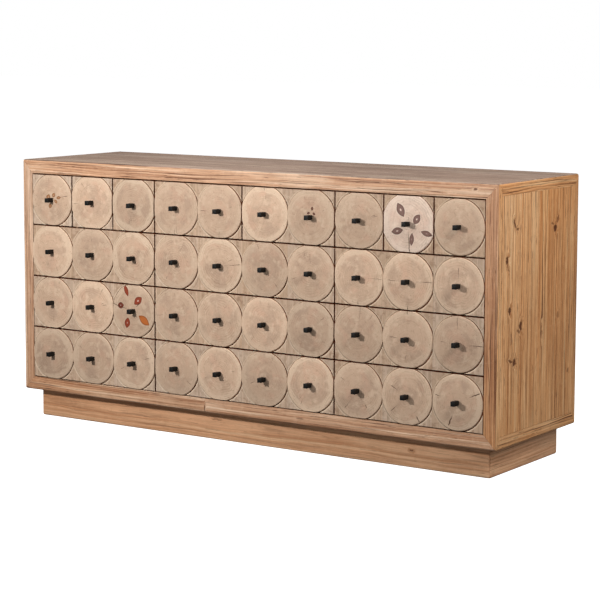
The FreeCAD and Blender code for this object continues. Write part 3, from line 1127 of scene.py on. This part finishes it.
@dataclass
class Case:
    """Top, sides, front frame, plinth and the boards inside the case.

    Attributes:
        sizes: Shared sizes.
        finishes: Finishes of the sideboard.
        chance: Source of the boards' places in their logs.
        top_thickness: Thickness of the top.
        side_thickness: Thickness of a side.
        stile: Width of a stile of the front frame.
        rail: Height of a rail of the front frame.
        top_band: Height of a side's upper border.
        bottom_band: Height of a side's lower border.
        back_band: Width of a side's rear border.
        top_planks: Number of planks in the top.
        side_tones: How much lighter each upright board of a side is, below and above.
        upper_rail_tones: The same of the upper rail, at its left and its right end.
        lower_rail_tones: The same of the two lengths of the lower rail.
        stile_tones: The same of the right and the left stile, below and above.
        plinth_tones: The same of the plinth's boards.
        plinth_thickness: Thickness of the plinth's boards.
        plinth_round: Rounding of the plinth's arrises.
        plinth_spare: Height of the plinth's boards that is cut off flat again.
        joint_gap: Half of the open joint between two boards.
        rail_joint: Where two lengths of the lower rail meet.
    """

    sizes: Sizes
    finishes: Finishes
    chance: random.Random
    top_thickness: float = 22 * MM
    side_thickness: float = 24 * MM
    stile: float = 40 * MM
    rail: float = 42 * MM
    top_band: float = 34 * MM
    bottom_band: float = 36 * MM
    back_band: float = 26 * MM
    top_planks: int = 5
    side_tones: tuple[Tones, ...] = ((-0.07, 0.12), (-0.03, 0.0), (-0.02, -0.16), (-0.02, -0.13))
    upper_rail_tones: Tones = (-0.03, 0.04)
    lower_rail_tones: tuple[Tones, Tones] = ((-0.10, -0.02), (0.0, -0.02))
    stile_tones: tuple[Tones, Tones] = ((-0.26, -0.04), (-0.01, 0.10))
    plinth_tones: Tones = (0.04, 0.09)
    plinth_thickness: float = 22 * MM
    plinth_round: float = 6 * MM
    plinth_spare: float = 20 * MM
    joint_gap: float = 0.2 * MM
    rail_joint: float = -137 * MM

    def build(self) -> list[Piece]:
        """Make every piece of the case."""
        pieces = [self.top(), self.side(1), self.side(-1), self.front_frame(), self.plinth()]
        inside = {"back_panel": Grain.ALONG_Z, "bottom_panel": Grain.ALONG_X,
                  "partitions": Grain.ALONG_Y, "shelves": Grain.ALONG_X}
        for node, grain in inside.items():
            dress(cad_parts[node], self.finishes.inner[grain])
        return pieces

    def member(self, cuts: Sequence[Cut], grain: Grain, tones: Tones | None = None) -> Mesh:
        """Board cut out of the case's rounded outside.

        Args:
            cuts: A point of each plane and the direction of what is taken off.
            grain: Fibre direction.
            tones: How much lighter it is than its finish, at its low and its high end.

        Returns:
            The mesh of the board.
        """
        joints = [(point - outward.normalized() * self.joint_gap, outward) for point, outward in cuts]
        part = eased(trimmed(self.sizes.envelope(), joints), self.sizes.joint_ease)
        return lay_grain(part, grain, self.chance, tones)

    def seated(self, made: Piece, node: str, material: Material) -> Piece:
        """Dress a piece of the case and put it in place of its CAD node.

        Args:
            made: The piece.
            node: CAD node that it stands for.
            material: Its material.

        Returns:
            The same piece.
        """
        made.data.materials.append(material)
        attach(made, "case")
        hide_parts(node)
        return made

    def front_mitre(self, behind: bool) -> Cut:
        """Mitre along the top front arris, seen from behind it or before it.

        Args:
            behind: Whether the board lies behind the mitre, as the top and the sides do.

        Returns:
            A point of the plane and the direction of what is taken off.
        """
        arris = Vector((0, self.sizes.case_low.y, self.sizes.case_high.z))
        outward = Vector((0, -self.top_band, -self.sizes.frame_thickness))
        return arris, outward if behind else -outward

    def end_mitre(self, side: int, above: bool) -> Cut:
        """Mitre along the top arris of one end, seen from above it or below it.

        Args:
            side: 1 for the right and -1 for the left.
            above: Whether the board lies above the mitre, as the top does.

        Returns:
            A point of the plane and the direction of what is taken off.
        """
        arris = Vector((side * self.sizes.case_high.x, 0, self.sizes.case_high.z))
        outward = Vector((side * self.top_thickness, 0, -self.side_thickness))
        return arris, outward if above else -outward

    def top(self) -> Piece:
        """Lengthwise planks of the top."""
        low, high = self.sizes.case_low, self.sizes.case_high
        width = (high.y - low.y) / self.top_planks
        shared = [cut_at(2, high.z - self.top_thickness, -1),
                  self.front_mitre(True), self.end_mitre(1, True), self.end_mitre(-1, True)]
        planks = []
        for number in range(self.top_planks):
            cuts = list(shared)
            if number:
                cuts.append(cut_at(1, low.y + number * width, -1))
            if number < self.top_planks - 1:
                cuts.append(cut_at(1, low.y + (number + 1) * width, 1))
            planks.append(self.member(cuts, Grain.ALONG_X))
        return self.seated(new_mesh("top_planks", planks), "top_panel", self.finishes.top)

    def side(self, side: int) -> Piece:
        """Mitred border and upright boards of one side.

        Args:
            side: 1 for the right and -1 for the left.

        Returns:
            The piece.
        """
        low, high = self.sizes.case_low, self.sizes.case_high
        inner = cut_at(0, side * (high.x - self.side_thickness), -side)
        front, back = low.y + self.sizes.frame_thickness, high.y - self.back_band
        upper, lower = high.z - self.top_band, low.z + self.bottom_band
        top_back = Vector((0, high.y, high.z))
        low_back = Vector((0, high.y, low.z))
        low_front = Vector((0, low.y, low.z))
        up_cut = Vector((0, self.top_band, -self.back_band))
        down_cut = Vector((0, self.bottom_band, self.back_band))
        front_cut = Vector((0, -self.bottom_band, self.sizes.frame_thickness))
        boards = [
            self.member([inner, cut_at(2, upper, -1), self.front_mitre(True),
                         self.end_mitre(side, False), (top_back, up_cut)], Grain.ALONG_Y),
            self.member([inner, cut_at(2, lower, 1), (low_front, front_cut), (low_back, down_cut)],
                        Grain.ALONG_Y),
            self.member([inner, cut_at(1, back, -1), (top_back, -up_cut), (low_back, -down_cut),
                         self.end_mitre(side, False)], Grain.ALONG_Z),
            self.member(self.stile_cuts(side, False), Grain.ALONG_Z),
        ]
        width = (back - front) / len(self.side_tones)
        for number, tones in enumerate(self.side_tones):
            start = front + number * width
            cuts = [inner, cut_at(1, start, -1), cut_at(1, start + width, 1),
                    cut_at(2, upper, 1), cut_at(2, lower, -1)]
            boards.append(self.member(cuts, Grain.ALONG_Z, tones))
        word = "right" if side > 0 else "left"
        made = new_mesh(word + "_side_boards", boards)
        return self.seated(made, word + "_side_panel", self.finishes.side)

    def stile_cuts(self, side: int, front: bool) -> list[Cut]:
        """Planes round a stile, or round the strip of the side that it is mitred with.

        Args:
            side: 1 for the right and -1 for the left.
            front: Whether this is the stile and not the strip.

        Returns:
            A point of each plane and the direction of what is taken off.
        """
        low, high = self.sizes.case_low, self.sizes.case_high
        arris = Vector((side * high.x, low.y, 0))
        inward = Vector((side * self.sizes.frame_thickness, self.side_thickness, 0))
        reach = self.stile if front else self.side_thickness
        cuts = [cut_at(1, low.y + self.sizes.frame_thickness, 1), cut_at(0, side * (high.x - reach), -side),
                (arris, inward if front else -inward), self.front_mitre(False),
                (Vector((0, low.y, low.z)), Vector((0, self.bottom_band, -self.sizes.frame_thickness)))]
        for up, edge in ((1, high.z), (-1, low.z)):
            corner = Vector((side * high.x, 0, edge))
            cuts.append((corner, Vector((-side * self.rail, 0, up * self.stile))))
        return cuts

    def front_frame(self) -> Piece:
        """Rails and stiles round the drawers."""
        low, high = self.sizes.case_low, self.sizes.case_high
        behind = cut_at(1, low.y + self.sizes.frame_thickness, 1)
        members = []
        left_tones, right_tones = self.lower_rail_tones
        for up, edge, tones, end in ((1, high.z, self.upper_rail_tones, 0),
                                     (-1, low.z, left_tones, -1), (-1, low.z, right_tones, 1)):
            cuts = [behind, cut_at(2, edge - up * self.rail, -up)]
            if up > 0:
                cuts.append(self.front_mitre(False))
            for side in (1, -1):
                corner = Vector((side * high.x, 0, edge))
                cuts.append((corner, Vector((side * self.rail, 0, -up * self.stile))))
            if end:
                cuts.append(cut_at(0, self.rail_joint, -end))
            members.append(self.member(cuts, Grain.ALONG_X, tones))
        for side, tones in zip((1, -1), self.stile_tones):
            members.append(self.member(self.stile_cuts(side, True), Grain.ALONG_Z, tones))
        made = new_mesh("front_rails_and_stiles", members)
        return self.seated(made, "front_frame", self.finishes.case)

    def plinth(self) -> Piece:
        """Four mitred boards under the case."""
        low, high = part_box("plinth")
        boards = []
        for axis, sign, grain in ((1, -1, Grain.ALONG_X), (1, 1, Grain.ALONG_X),
                                  (0, -1, Grain.ALONG_Y), (0, 1, Grain.ALONG_Y)):
            whole = box_part(low, high + Vector((0, 0, self.plinth_spare)), self.plinth_round, segments=3)
            trimmed(whole, [cut_at(2, high.z, 1)])
            outward = axis_vector(axis, sign)
            face = Vector(low if sign < 0 else high)
            cuts = [(face - outward * self.plinth_thickness, -outward)]
            other = 1 - axis
            for end, way in ((low, -1), (high, 1)):
                corner = Vector(face)
                corner[other] = end[other]
                cuts.append((corner, axis_vector(axis, -sign) + axis_vector(other, way)))
            part = eased(trimmed(whole, cuts), self.sizes.joint_ease)
            boards.append(lay_grain(part, grain, self.chance, self.plinth_tones, rift=axis == 0))
        made = new_mesh("plinth_boards", boards)
        return self.seated(made, "plinth", self.finishes.plinth)


@dataclass
class Drawer:
    """One drawer: its tiles, log slices, pegs and box.

    Attributes:
        name: Name of the drawer's body.
        row: Row of tiles, counted from the top.
        first: First column of tiles.
        count: Number of tiles.
        sizes: Shared sizes.
        finishes: Finishes of the sideboard.
        chance: Source of all that differs from slice to slice.
        slice_thickness: Thickness of a slice.
        slice_edge: Mean rounding of a slice's rim.
        edge_spread: Least and most of it, as a share.
        bump_depth: Least and most depth of the dents in a slice's rim.
        bump_counts: How many of each kind there are round the rim.
        slice_facets: Straight lengths round a slice and its hole.
        slice_gap: Gap between a slice and the four corners of its tile.
        slice_slip: How far a hole lies to the right of its slice at most.
        slip_drop: How far the hole lies too low, as a share of that.
        pith_drift: How far the pith lies from a slice's middle at most.
        check_start: Least and most distance from the pith where a chance crack begins.
        check_length: Its least and most length.
        check_widths: The half widths that it may have.
        ring_strengths: Least and most strength of a slice's ring lines.
        tile_back: Thickness of a drawer front, from the front of the case.
        tile_step: Depth of the holes in which the slices lie.
        tile_lip: Rounding of a hole's rim.
        lip_curve: Two steps of its round, as shares of it.
        tile_ease: Chamfer of a tile's arrises.
        gap_wear: How much wider each gap has worn at either side.
        rail_gap: How much wider the gap under the upper rail is.
        peg_length: How far a peg stands out of its slice.
        peg_root: Width of a peg at its root.
        peg_tip: Width of a peg at its tip.
        peg_ease: Easing of a peg's arrises.
        side_wall: Thickness of a box's sides.
        front_wall: Thickness of its inner front.
        back_wall: Thickness of its back.
        floor_thickness: Thickness of its bottom.
        floor_raise: Height of the bottom over the sides' lower edges.
        floor_groove: Depth of the grooves that hold the bottom.
        tray_ease: Easing of the box's arrises.
    """

    name: str
    row: int
    first: int
    count: int
    sizes: Sizes
    finishes: Finishes
    chance: random.Random
    slice_thickness: float = 6.5 * MM
    slice_edge: float = 3.2 * MM
    edge_spread: tuple[float, float] = (0.6, 1.3)
    bump_depth: tuple[float, float] = (0.1 * MM, 0.45 * MM)
    bump_counts: tuple[int, ...] = (2, 3, 5, 8)
    slice_facets: tuple[int, int] = (160, 128)
    slice_gap: float = 0.3 * MM
    slice_slip: float = 1.3 * MM
    slip_drop: float = 0.6
    pith_drift: float = 6 * MM
    check_start: tuple[float, float] = (30 * MM, 55 * MM)
    check_length: tuple[float, float] = (12 * MM, 30 * MM)
    check_widths: tuple[float, ...] = (0.0, 0.18 * MM, 0.3 * MM)
    ring_strengths: tuple[float, float] = (0.08, 0.42)
    tile_back: float = 21 * MM
    tile_step: float = 4 * MM
    tile_lip: float = 3.6 * MM
    lip_curve: tuple[float, float] = (0.13, 0.5)
    tile_ease: float = 1.3 * MM
    gap_wear: float = 0.9 * MM
    rail_gap: float = 1.6 * MM
    peg_length: float = 26 * MM
    peg_root: float = 12.6 * MM
    peg_tip: float = 13.6 * MM
    peg_ease: float = 0.8 * MM
    side_wall: float = 12 * MM
    front_wall: float = 14 * MM
    back_wall: float = 12 * MM
    floor_thickness: float = 8 * MM
    floor_raise: float = 8 * MM
    floor_groove: float = 5 * MM
    tray_ease: float = 0.8 * MM

    def build(self) -> list[Piece]:
        """Make every piece of the drawer."""
        columns = range(self.first, self.first + self.count)
        tiles = new_mesh(self.name + "_tiles", [part for column in columns for part in self.tile(column)])
        tiles.data.materials.append(self.finishes.tile)
        slices = self.slices(columns)
        pegs = new_mesh(self.name + "_pegs", [self.peg(column) for column in columns])
        pegs.data.materials.append(self.finishes.iron)
        tray = new_mesh(self.name + "_tray", self.tray())
        tray.data.materials.append(self.finishes.inner[None])
        for made, node, slot in ((tiles, "_front", "log_end"), (slices, "_front", "log_end"),
                                 (pegs, "_knobs", "knob_iron"), (tray, "_box", "inner_wood")):
            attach(made, self.name)
            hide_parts(self.name + node)
        return [tiles, slices, pegs, tray]

    def tile_span(self, column: int) -> tuple[Vector, Vector]:
        """Room of one tile.

        Args:
            column: Column of the tile.

        Returns:
            Its lowest and its highest corner.
        """
        left, right = self.sizes.column_line(column), self.sizes.column_line(column + 1)
        gap = self.sizes.reveal / 2 + self.gap_wear
        if column == self.first:
            left += gap
        if column == self.first + self.count - 1:
            right -= gap
        top = self.sizes.row_line(self.row) - gap - (0.0 if self.row else self.rail_gap)
        last_row = self.row == len(self.sizes.row_drawers) - 1
        bottom = self.sizes.row_line(self.row + 1) + gap + (self.rail_gap / 2 if last_row else 0.0)
        low = Vector((left, TILE_FACE, bottom))
        high = Vector((right, self.sizes.case_low.y + self.tile_back, top))
        return low, high

    def middle(self, column: int) -> Vector:
        """Middle of one tile, on the front of its slice."""
        return Vector((self.sizes.column_line(column) + self.sizes.pitch / 2, SLICE_FACE,
                       self.sizes.row_line(self.row) - self.sizes.pitch / 2))

    def radius(self, column: int) -> float:
        """Radius of one slice before it is trimmed."""
        return SLICE_DIAMETERS[self.row][column] * MM / 2

    def edge_cuts(self, column: int) -> list[Cut]:
        """Planes of the four edges of one tile."""
        low, high = self.tile_span(column)
        return [cut_at(0, low.x, -1), cut_at(0, high.x, 1), cut_at(2, low.z, -1), cut_at(2, high.z, 1)]

    def tile(self, column: int) -> list[Mesh]:
        """Square tile behind one slice, and its four corners round the slice.

        Args:
            column: Column of the tile.

        Returns:
            Mesh of the tile's back and mesh of its corners.
        """
        low, high = self.tile_span(column)
        slip = self.slice_slip * self.chance.uniform(0.1, 1.0)
        middle = self.middle(column) + Vector((slip, 0, -slip * self.slip_drop))
        middle.y = TILE_FACE
        hole = self.radius(column) + self.slice_gap
        back = box_part(low + Vector((0, self.tile_step, 0)), high)
        corners = bmesh.new()
        lip = self.tile_lip
        small, large = [lip * share for share in self.lip_curve]
        outline = [(hole, self.tile_step), (hole, lip), (hole + small, large), (hole + large, small),
                   (hole + lip, 0.0), (self.sizes.pitch, 0.0), (self.sizes.pitch, self.tile_step)]
        points = [corners.verts.new(middle + Vector((out, deep, 0))) for out, deep in outline]
        for near, far in zip(points, points[1:] + points[:1]):
            corners.edges.new((near, far))
        bmesh.ops.spin(corners, geom=corners.verts[:] + corners.edges[:], cent=middle, axis=(0, 1, 0),
                       angle=math.tau, steps=self.slice_facets[1], use_merge=True)
        trimmed(corners, self.edge_cuts(column))
        rim = [edge for edge in corners.edges if edge.is_manifold
               and all(abs(vertex.co.y - TILE_FACE) < SAME_PLACE for vertex in edge.verts)
               and edge.calc_face_angle() > 1.0]
        bevelled(corners, rim, self.tile_ease, 1, clamp=True)
        state = self.chance.getstate()
        for part in (back, corners):
            self.chance.setstate(state)
            lay_grain(part, Grain.ALONG_Z, self.chance)
            around, reach = vertex_layer(part, "middle"), part.verts.layers.float.new("hole")
            for vertex in part.verts:
                vertex[around] = middle
                vertex[reach] = hole
        return [back, corners]

    def slices(self, columns: range) -> Piece:
        """All the log slices of the drawer as one piece.

        Args:
            columns: Columns of its tiles.

        Returns:
            The piece, with a material slot for each kind of slice.
        """
        parts = []
        materials = []
        for column in columns:
            material = self.finishes.slices.get((self.row, column), self.finishes.slices[None])
            if material not in materials:
                materials.append(material)
            parts.append(self.log_slice(column, materials.index(material)))
        made = new_mesh(self.name + "_slices", parts, smooth_angle=40.0)
        for material in materials:
            made.data.materials.append(material)
        return made

    def log_slice(self, column: int, material: int) -> Mesh:
        """One round slice, flat where it meets the edge of its tile.

        Args:
            column: Column of its tile.
            material: Material slot of its faces.

        Returns:
            The mesh of the slice.
        """
        middle = self.middle(column)
        part = bmesh.new()
        matrix = Matrix.Translation(middle) @ FACE_FRONT
        bmesh.ops.create_circle(part, cap_ends=True, segments=self.slice_facets[0],
                                radius=self.radius(column), matrix=matrix)
        bumps = [(self.chance.uniform(*self.bump_depth), number, self.chance.uniform(0, math.tau))
                 for number in self.bump_counts]
        for vertex in part.verts:
            away = vertex.co - middle
            angle = math.atan2(away.z, away.x)
            inset = sum(depth * (1 + math.sin(number * angle + start)) / 2
                        for depth, number, start in bumps)
            vertex.co -= away.normalized() * inset
        extruded(part, (0, self.slice_thickness, 0))
        bmesh.ops.recalc_face_normals(part, faces=part.faces[:])
        front = middle.y + 0.1 * MM
        rim = [edge for edge in part.edges if all(vertex.co.y < front for vertex in edge.verts)]
        bevelled(part, rim, self.slice_edge * self.chance.uniform(*self.edge_spread), 4)
        trimmed(part, self.edge_cuts(column))
        self.mark_slice(part, column, middle)
        for face in part.faces:
            face.material_index = material
        return part

    def mark_slice(self, part: Mesh, column: int, middle: Vector) -> None:
        """Store what makes one slice differ from the others.

        Args:
            part: Mesh of the slice, which is changed.
            column: Column of its tile.
            middle: Middle of its front.
        """
        chance = self.chance
        checks = list(CHECKS.get((self.row, column), ()))
        while len(checks) < CHECKS_IN_A_SLICE:
            start = chance.uniform(*self.check_start)
            checks.append(Check(chance.uniform(0, 360), start, start + chance.uniform(*self.check_length),
                                chance.choice(self.check_widths)))
        drift = self.pith_drift
        pith = middle + Vector((chance.uniform(-drift, drift), 0, chance.uniform(-drift, drift)))
        if (self.row, column) in CHECKS:
            pith = middle
        marks = {
            "middle": middle,
            "pith": pith,
            "tone_set": Vector((chance.uniform(-1, 1), chance.uniform(0.1, 0.9),
                                chance.uniform(*self.ring_strengths))),
            "seed_shift": Vector((chance.uniform(0, 9), chance.uniform(0, 9), chance.uniform(0, 9))),
            "check_angle": Vector([math.radians(check.angle) for check in checks]),
            "check_start": Vector([check.start for check in checks]),
            "check_end": Vector([check.end for check in checks]),
            "check_width": Vector([check.width for check in checks]),
        }
        for name, value in marks.items():
            layer = vertex_layer(part, name)
            for vertex in part.verts:
                vertex[layer] = value

    def peg(self, column: int) -> Mesh:
        """Square iron peg that widens a little towards its tip.

        Args:
            column: Column of its tile.

        Returns:
            The mesh of the peg.
        """
        middle = self.middle(column)
        part = bmesh.new()
        matrix = Matrix.Translation(middle) @ FACE_FRONT
        bmesh.ops.create_grid(part, x_segments=1, y_segments=1, size=self.peg_root / 2, matrix=matrix)
        tip = extruded(part, FRONT * self.peg_length)
        share = self.peg_tip / self.peg_root
        end = middle + FRONT * self.peg_length
        for vertex in tip:
            vertex.co = end + (vertex.co - end) * share
        bmesh.ops.recalc_face_normals(part, faces=part.faces[:])
        return eased(part, self.peg_ease, segments=2)

    def tray(self) -> list[Mesh]:
        """Boards of the drawer box."""
        low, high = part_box(self.name + "_box")
        inner_left, inner_right = low.x + self.side_wall, high.x - self.side_wall
        floor_low = low.z + self.floor_raise
        floor_high = floor_low + self.floor_thickness
        spans = [
            (low, (inner_left, high.y, high.z), Grain.ALONG_Y),
            ((inner_right, low.y, low.z), high, Grain.ALONG_Y),
            ((inner_left, low.y, floor_high), (inner_right, low.y + self.front_wall, high.z), Grain.ALONG_X),
            ((inner_left, high.y - self.back_wall, floor_high), (inner_right, high.y, high.z), Grain.ALONG_X),
            ((inner_left - self.floor_groove, low.y, floor_low),
             (inner_right + self.floor_groove, high.y, floor_high), Grain.ALONG_X),
        ]
        return [lay_grain(box_part(near, far, self.tray_ease, 1), grain, self.chance)
                for near, far, grain in spans]


@dataclass(frozen=True)
class Softbox:
    """Rectangular light.

    Attributes:
        name: Name of the light.
        place: Where it stands.
        aim: Point that it faces.
        width: Width in metres.
        height: Height in metres.
        power: Power in watts.
    """

    name: str
    place: Triple
    aim: Triple
    width: float
    height: float
    power: float

    def build(self) -> None:
        """Add the light to the scene."""
        light = bpy.data.lights.new(self.name, "AREA")
        light.shape = "RECTANGLE"
        light.size = self.width
        light.size_y = self.height
        light.energy = self.power
        made = linked(self.name, light)
        made.visible_camera = False
        place = Vector(self.place)
        turn = (Vector(self.aim) - place).to_track_quat("-Z", "Y").to_matrix().to_4x4()
        made.matrix_world = Matrix.Translation(place) @ turn


@dataclass
class Studio:
    """Floor, light and camera.

    Attributes:
        camera_place: Place of the lens.
        turn: Angle of the view from the front, towards the right, in radians.
        tilt: Angle of the view below the horizon in radians.
        roll: Roll of the camera in radians.
        focal: Focal length in picture widths.
        shift: Vertical shift in picture widths.
        horizon: Half height of the band in which the ground's strength passes into the sky's.
        sky: Strength of the white surroundings above the horizon.
        ground: Strength of what the floor throws back.
        floor_size: Half width of the floor in metres.
        floor_glow: Share of its white that the floor gives by itself.
        softboxes: The lights.
    """

    camera_place: Triple = (3.4153, -5.0092, 1.2490)
    turn: float = 0.5910
    tilt: float = 0.1072
    roll: float = 0.0028
    focal: float = 2015.47 / 600
    shift: float = -0.1
    horizon: float = 0.05
    sky: float = 0.135
    ground: float = 0.15
    floor_size: float = 30.0
    floor_glow: float = 0.92
    softboxes: tuple[Softbox, ...] = (
        Softbox("key", (-0.68, -2.05, 1.22), (0.0, -0.2, 0.45), 0.18, 0.18, 35.0),
        Softbox("overhead", (-0.3, -0.1, 2.6), (-0.1, 0.0, 0.6), 2.4, 1.0, 26.5),
        Softbox("upper_left", (-0.9, -1.0, 2.4), (-0.4, 0.0, 0.6), 1.2, 1.0, 4.0),
        Softbox("near_right", (1.9, -0.9, 1.7), (0.85, -0.1, 0.5), 0.4, 0.4, 15.0),
        Softbox("right", (3.2, -0.5, 2.1), (0.85, 0.0, 0.45), 1.6, 1.6, 34.0),
    )

    def build(self) -> None:
        """Set the stage."""
        self.camera()
        self.floor()
        self.world()
        for softbox in self.softboxes:
            softbox.build()
        view = bpy.context.scene.view_settings
        view.view_transform = "Standard"
        view.look = "None"

    def camera(self) -> None:
        """Camera at the height and angle of the picture."""
        ahead = Vector((-math.sin(self.turn) * math.cos(self.tilt),
                        math.cos(self.turn) * math.cos(self.tilt), -math.sin(self.tilt)))
        right = Vector((math.cos(self.turn), math.sin(self.turn), 0))
        up = right.cross(ahead)
        turned = right * math.cos(self.roll) + up * math.sin(self.roll)
        raised = up * math.cos(self.roll) - right * math.sin(self.roll)
        lens = bpy.data.cameras.new("camera")
        lens.sensor_width = 36.0
        lens.lens = self.focal * lens.sensor_width
        lens.shift_y = self.shift
        lens.clip_end = 100.0
        camera = linked("camera", lens)
        axes = Matrix((turned, raised, -ahead)).transposed().to_4x4()
        camera.matrix_world = Matrix.Translation(self.camera_place) @ axes
        bpy.context.scene.camera = camera

    def floor(self) -> None:
        """Pale floor, which the surroundings light from below in its place."""
        part = bmesh.new()
        bmesh.ops.create_grid(part, x_segments=1, y_segments=1, size=self.floor_size)
        mesh = bpy.data.meshes.new("floor")
        part.to_mesh(mesh)
        part.free()
        made = linked("floor", mesh)
        made.visible_diffuse = made.visible_glossy = made.visible_shadow = False
        shade = Shader("pale_floor")
        surface = shade.add("BsdfPrincipled", {
            "Base Color": (0.86, 0.86, 0.86, 1.0), "Roughness": 0.9, "Specular IOR Level": 0.1,
            "Emission Color": WHITE, "Emission Strength": self.floor_glow})
        shade.add("OutputMaterial", {"Surface": surface.outputs[0]})
        mesh.materials.append(shade.material)

    def world(self) -> None:
        """White surroundings, which light the object less than they show."""
        world = bpy.data.worlds.new("studio")
        world.use_nodes = True
        tree = world.node_tree
        tree.nodes.clear()
        kinds = ("TexCoord", "SeparateXYZ", "MapRange", "LightPath", "MapRange", "Background", "OutputWorld")
        ray, split, level, path, seen, ground, out = [tree.nodes.new("ShaderNode" + kind) for kind in kinds]
        for first, second in ((ray.outputs["Generated"], split.inputs[0]),
                              (split.outputs[2], level.inputs["Value"]),
                              (path.outputs["Is Camera Ray"], seen.inputs["Value"]),
                              (level.outputs[0], seen.inputs["To Min"]),
                              (seen.outputs[0], ground.inputs["Strength"]),
                              (ground.outputs[0], out.inputs["Surface"])):
            tree.links.new(first, second)
        for name, value in (("From Min", -self.horizon), ("From Max", self.horizon),
                            ("To Min", self.ground), ("To Max", self.sky)):
            level.inputs[name].default_value = value
        seen.inputs["To Max"].default_value = 1.0
        ground.inputs["Color"].default_value = WHITE
        bpy.context.scene.world = world


def main() -> None:
    """Build the sideboard and its stage."""
    logging.basicConfig(level=logging.INFO, format="%(name)s: %(message)s")
    Studio().build()
    sizes = Sizes()
    finishes = Finishes()
    chance = random.Random(7)
    pieces = Case(sizes, finishes, chance).build()
    number = 0
    for row, counts in enumerate(sizes.row_drawers):
        first = 0
        for count in counts:
            number += 1
            name = "drawer_%02d" % number
            pieces.extend(Drawer(name, row, first, count, sizes, finishes, chance).build())
            first += count
    for piece in pieces:
        LOG.info("%s: %d faces", piece.name, len(piece.data.polygons))


if __name__ == "__main__":
    main()
